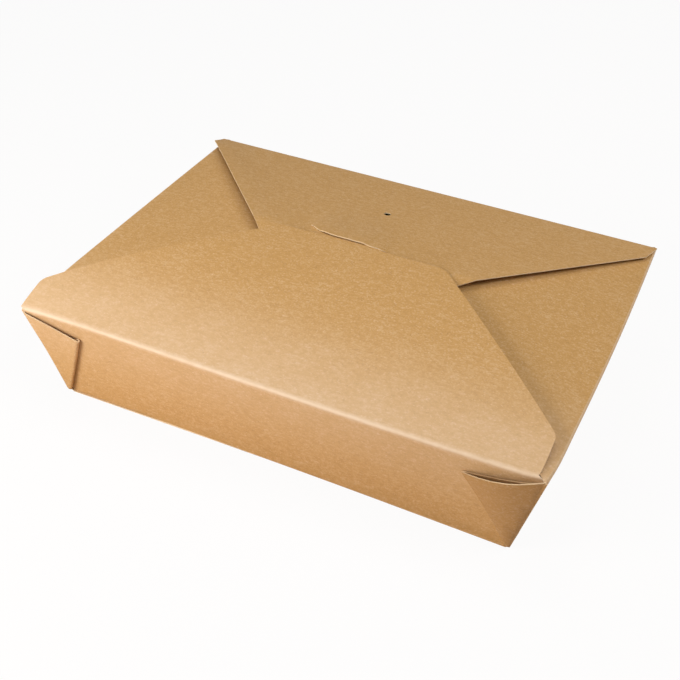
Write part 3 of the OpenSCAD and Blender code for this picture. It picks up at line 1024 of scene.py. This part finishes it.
def board_material(name, look, tone, relief, gloss):
    """Brown board of one tone, with its fibres, rubbed creases, painted highlight and shade, and fine relief.
    """
    material = bpy.data.materials.get(name)
    if material:
        return material
    material = bpy.data.materials.new(name)
    material.use_nodes = True
    tree = Nodes(material.node_tree)
    shader = material.node_tree.nodes["Principled BSDF"]
    shader.inputs["Specular IOR Level"].default_value = gloss
    coords = tree.add("ShaderNodeTexCoord")
    rub_and_painted_light = tree.add("ShaderNodeAttribute", attribute_name="rub_and_painted_light")
    fibres = tree.add("ShaderNodeGroup", node_tree=board_fibres_and_painted_light())
    fibres.inputs["Tone"].default_value = tone
    fibres.inputs["Pale"].default_value = look.pale
    fibres.inputs["Dark"].default_value = look.dark
    bump = tree.add("ShaderNodeBump")
    bump.inputs["Strength"].default_value = look.relief_share
    bump.inputs["Distance"].default_value = relief
    tree.join(coords.outputs["Object"], fibres.inputs["Place"])
    tree.join(rub_and_painted_light.outputs["Fac"], fibres.inputs["RubAndPaintedLight"])
    tree.join(fibres.outputs["Color"], shader.inputs["Base Color"])
    tree.join(fibres.outputs["Roughness"], shader.inputs["Roughness"])
    tree.join(fibres.outputs["Height"], bump.inputs["Height"])
    tree.join(bump.outputs["Normal"], shader.inputs["Normal"])
    return material


def settings(context):
    """Fold lines, form and look of the box, from the scene's values."""
    scene = context.scene
    form = scene.takeout_form
    return Folds(scene.takeout_sizes, form), form, scene.takeout_board


class TAKEOUT_OT_carton(bpy.types.Operator):
    """Fold the tray, web corners, side flaps and back flap from one sheet"""
    bl_idname = "takeout.carton"
    bl_label = "Carton sheet"

    def execute(self, context):
        folds, form, look = settings(context)
        sheet = Sheet()
        tray(sheet, folds)
        for side in (1, -1):
            side_flap(sheet, folds, side)
        back_flap(sheet, folds)
        sheet.cut_grid(form.grid, (X, Y, Z))
        open_vent(sheet, folds, form)
        open_slit(sheet, folds, form)
        lift_lip(sheet, folds, form)
        curl_ear(sheet, folds, form)
        bow_walls(sheet, folds, form)
        gape_webs(sheet, folds, form)
        skew_tray(sheet, folds, form)
        sheet.mark_rub_and_painted_light(look)
        settle(sheet.bm.verts, sheet.verts_of(FRONT_WALL), folds, form)

        def base_faces_down(bm):
            base = next(f for f in bm.faces if f[sheet.panel] == BASE)
            return base.normal.z < 0

        piece = sheet.to_object("carton_sheet", folds.sizes.board, board_materials(look), base_faces_down)
        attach(piece, "carton")
        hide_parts("carton")
        return {"FINISHED"}


class TAKEOUT_OT_front_flap(bpy.types.Operator):
    """Make the front flap with its tongue"""
    bl_idname = "takeout.front_flap"
    bl_label = "Front flap"

    def execute(self, context):
        piece = front_flap_sheet(*settings(context))
        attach(piece, "front_flap")
        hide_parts("front_flap")
        return {"FINISHED"}


def left_rise(folds, form, x, out):
    """How far the front flap's left side rises above its even bow."""
    part = clamp(out / folds.sizes.front_flap_length)
    return form.left_bow * max(-x / folds.ear_half, 0) * arch(part)


def front_flap_sheet(folds, form, look):
    """Front flap as a bowed sheet, with the tongue that dips into the slit."""
    sizes = folds.sizes
    flap = sizes.front_flap_length
    left, right = sizes.front_left, sizes.front_right
    slant_rise = tan(sizes.front_slant)
    top_half = folds.ear_half - (flap - sizes.front_ear) / slant_rise
    right_ear = sizes.front_ear + (folds.ear_half - right) * slant_rise
    left_ear = sizes.front_ear + (folds.ear_half + left) * slant_rise
    start = folds.front.reach + sizes.crease_strip
    ear, top = sizes.ear_radius, sizes.top_corner_radius
    sheet = Sheet()

    # Each corner of the flat flap: along the crease, out from it, and its rounding
    corners = [(left, start, 0), (right, start, 0), (right, right_ear, ear), (top_half, flap, top),
               (sizes.tongue_right, flap, 0), (sizes.tongue_left, flap, 0),
               (-top_half, flap, top), (left, left_ear, ear)]
    face = sheet.add(FRONT_FLAP, [Vector((x, out, 0)) for x, out, radius in corners])
    rounded = [(v, corner[2]) for v, corner in zip(face.verts, corners) if corner[2]]
    for vert, radius in rounded:
        sheet.round_corner(vert, radius)
    sheet.cut_grid(form.grid, (X, Y))

    normal = Vector((0, -sin(folds.front_slope), cos(folds.front_slope)))
    along = Vector((0, cos(folds.front_slope), sin(folds.front_slope)))
    for vert in sheet.bm.verts:
        x, out = vert.co.xy
        bow = form.flap_bow * arch(out / flap) + left_rise(folds, form, x, out)
        vert.co = hinge_point + x * X + out * along + bow * normal
    tongue(sheet, folds, hinge_point + flap * along)
    sheet.mark_rub_and_painted_light(look)
    settle(sheet.bm.verts, sheet.bm.verts, folds, form)
    return sheet.to_object("front_flap_sheet", sizes.board, board_materials(look), mostly_up)


def tongue(sheet, folds, top_edge):
    """Bends the tongue down at the flap's top edge and takes it on under the back flap."""
    sizes = folds.sizes

    def at_root(vert):
        on_edge = (vert.co - top_edge).yz.length < WELD
        return on_edge and sizes.tongue_left - WELD < vert.co.x < sizes.tongue_right + WELD

    root = [e for e in sheet.bm.edges if e.is_boundary and all(at_root(v) for v in e.verts)]
    rise = folds.front_slope - folds.bow_slope
    sink = -folds.back_slope - sizes.tongue_sink
    centre = top_edge - sizes.tongue_bend * Vector((0, -sin(rise), cos(rise)))
    far = sheet.spin(root, centre, X, sink - rise, TONGUE_STEPS, TONGUE)
    edges = {e for v in far for e in v.link_edges if all(w in far for w in e.verts)}
    made = bmesh.ops.extrude_edge_only(sheet.bm, edges=list(edges))["geom"]
    tip = [g for g in made if isinstance(g, bmesh.types.BMVert)]
    bmesh.ops.translate(sheet.bm, verts=tip, vec=sizes.tongue_length * Vector((0, cos(sink), sin(sink))))
    middle = (sizes.tongue_left + sizes.tongue_right) / 2
    half = sizes.tongue_right - middle
    for vert in tip:
        vert.co.x = middle + (vert.co.x - middle) * (1 - sizes.tongue_taper / half)


class TAKEOUT_OT_front_crease(bpy.types.Operator):
    """Make the bent board of the front crease"""
    bl_idname = "takeout.front_crease"
    bl_label = "Front crease"

    def execute(self, context):
        folds, form, look = settings(context)
        crease = folds.front
        flap_start = crease.on_flap(0, crease.reach)
        sheet = crease_sheet(folds, form)
        sheet.mark_rub_and_painted_light(look)
        piece = sheet.to_object("front_crease", folds.sizes.board, board_materials(look), mostly_up)
        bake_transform(piece)
        # The board settles after the piece is made and baked in place
        settle(piece.data.vertices, piece.data.vertices, folds, form)
        return {"FINISHED"}


def crease_sheet(folds, form):
    """Bend between the front wall and the front flap, with a flat strip of each."""
    sizes = folds.sizes
    crease = folds.front
    strip = sizes.crease_strip
    sheet = Sheet()
    ends = [crease.wall_top + side * folds.ear_half * X for side in (-1, 1)]
    low = [end - strip * crease.up for end in ends]
    wall = sheet.add(FRONT_WALL, [low[0], low[1], ends[1], ends[0]])
    ring = sheet.fold_over([edge_at(wall, *ends)], crease)
    widen_bend(ring, crease, sizes.front_left, sizes.front_right)
    sheet.add(FRONT_FLAP, ring + [v.co + strip * crease.flap for v in reversed(ring)])
    sheet.cut_grid(form.grid, (X,))
    for vert in sheet.bm.verts:
        out = (vert.co - hinge_point).dot(crease.flap)
        vert.co.z += left_rise(folds, form, vert.co.x, out)
    return sheet


class TAKEOUT_OT_stage(bpy.types.Operator):
    """Set up the floor, the lamps and the camera"""
    bl_idname = "takeout.stage"
    bl_label = "Stage"

    def execute(self, context):
        scene = context.scene
        look = scene.takeout_stage
        scene.view_settings.view_transform = "Standard"
        floor(look)
        lamps(look)
        backdrop(scene, look)
        camera(scene, look)
        return {"FINISHED"}


def seen_share(tree, factor):
    """Share of white for what is seen straight, mirrored or through glass."""
    path = tree.add("ShaderNodeLightPath")
    seen = path.outputs["Is Camera Ray"]
    for ray in ("Is Glossy Ray", "Is Transmission Ray"):
        seen = tree.math("MAXIMUM", seen, path.outputs[ray])
    return tree.math("MULTIPLY", seen, factor)


def plain_white(tree, kind):
    """Shader that is seen as plain white."""
    white = tree.add(kind)
    white.inputs["Color"].default_value = WHITE
    white.inputs["Strength"].default_value = 1.0
    return white.outputs[0]


def floor(look):
    """Pale floor that is seen as white and keeps the object's shadow."""
    bm = bmesh.new()
    bmesh.ops.create_grid(bm, x_segments=1, y_segments=1, size=look.floor_size / 2)
    mesh = bpy.data.meshes.new("floor")
    bm.to_mesh(mesh)
    bm.free()
    piece = bpy.data.objects.new("floor", mesh)
    bpy.context.collection.objects.link(piece)
    material = bpy.data.materials.new("floor_white")
    material.use_nodes = True
    tree = Nodes(material.node_tree)
    shader = material.node_tree.nodes["Principled BSDF"]
    shader.inputs["Base Color"].default_value = look.floor_tone
    shader.inputs["Roughness"].default_value = look.floor_roughness
    shader.inputs["Specular IOR Level"].default_value = 0.0
    white = plain_white(tree, "ShaderNodeEmission")
    blend_in(tree, seen_share(tree, look.floor_white), shader.outputs["BSDF"], white,
             material.node_tree.nodes["Material Output"])
    mesh.materials.append(material)


def blend_in(tree, amount, first, second, output):
    """Puts out an amount of the second shader over the first."""
    mix = tree.add("ShaderNodeMixShader")
    tree.join(amount, mix.inputs["Fac"])
    tree.join(first, mix.inputs[1])
    tree.join(second, mix.inputs[2])
    tree.join(mix.outputs["Shader"], output.inputs["Surface"])


def lamp(name, where, size, strength, tint):
    """Soft square lamp that points at the box."""
    light = bpy.data.lights.new(name, "AREA")
    light.shape = "SQUARE"
    light.size = size
    light.energy = strength
    light.color = tint[:3]
    piece = bpy.data.objects.new(name, light)
    piece.location = where
    piece.rotation_euler = Vector(where).to_track_quat("Z", "Y").to_euler()
    piece.visible_camera = False
    bpy.context.collection.objects.link(piece)


def lamps(look):
    """Near lamp in front, a lamp above and one on the right."""
    lamp("key_lamp", look.key_place, look.key_size, look.key_power, look.key_tint)
    lamp("top_lamp", look.top_place, look.top_size, look.top_power, WHITE)
    lamp("fill_lamp", look.fill_place, look.fill_size, look.fill_power, WHITE)


def backdrop(scene, look):
    """White surroundings, which give a weak light from all around."""
    world = bpy.data.worlds.new("surroundings")
    scene.world = world
    world.use_nodes = True
    tree = Nodes(world.node_tree)
    soft = world.node_tree.nodes["Background"]
    soft.inputs["Color"].default_value = WHITE
    soft.inputs["Strength"].default_value = look.sky
    white = plain_white(tree, "ShaderNodeBackground")
    blend_in(tree, seen_share(tree, 1.0), soft.outputs["Background"], white,
             world.node_tree.nodes["World Output"])


def camera(scene, look):
    """Camera at the picture's viewing angle."""
    data = bpy.data.cameras.new("camera")
    data.sensor_width = SENSOR_WIDTH
    data.lens = look.lens
    data.clip_start = NEAR_CLIP
    piece = bpy.data.objects.new("camera", data)
    stand = Vector(look.camera_place)
    aim = (Vector(look.camera_target) - stand).to_track_quat("-Z", "Y").to_matrix()
    aim = aim @ Matrix.Rotation(look.camera_roll, 3, "Z")
    piece.location = stand
    piece.rotation_euler = aim.to_euler()
    scene.collection.objects.link(piece)
    scene.camera = piece


OPERATORS = (TAKEOUT_OT_carton, TAKEOUT_OT_front_flap, TAKEOUT_OT_front_crease, TAKEOUT_OT_stage)


class TAKEOUT_PT_box(bpy.types.Panel):
    """Lists the box's pieces and sizes"""
    bl_idname = "TAKEOUT_PT_box"
    bl_label = "Takeout Box"
    bl_space_type = "VIEW_3D"
    bl_region_type = "UI"
    bl_category = "Takeout Box"

    def draw(self, context):
        for piece in OPERATORS:
            self.layout.operator(piece.bl_idname)
        for group in (context.scene.takeout_sizes, context.scene.takeout_form,
                      context.scene.takeout_board, context.scene.takeout_stage):
            column = self.layout.column(align=True)
            for name in group.__annotations__:
                column.prop(group, name)


GROUPS = {"takeout_sizes": BoxSizes, "takeout_form": SheetForm, "takeout_board": BoardLook,
          "takeout_stage": StageLook}
CLASSES = (*GROUPS.values(), *OPERATORS, TAKEOUT_PT_box)


def register():
    for cls in CLASSES:
        bpy.utils.register_class(cls)
    for name, group in GROUPS.items():
        setattr(bpy.types.Scene, name, PointerProperty(type=group))


def unregister():
    for name in GROUPS:
        delattr(bpy.types.Scene, name)
    for cls in reversed(CLASSES):
        bpy.utils.unregister_class(cls)


def main():
    register()
    bpy.ops.takeout.stage()
    bpy.ops.takeout.carton()
    bpy.ops.takeout.front_flap()
    bpy.ops.takeout.front_crease()


if __name__ == "__main__":
    main()
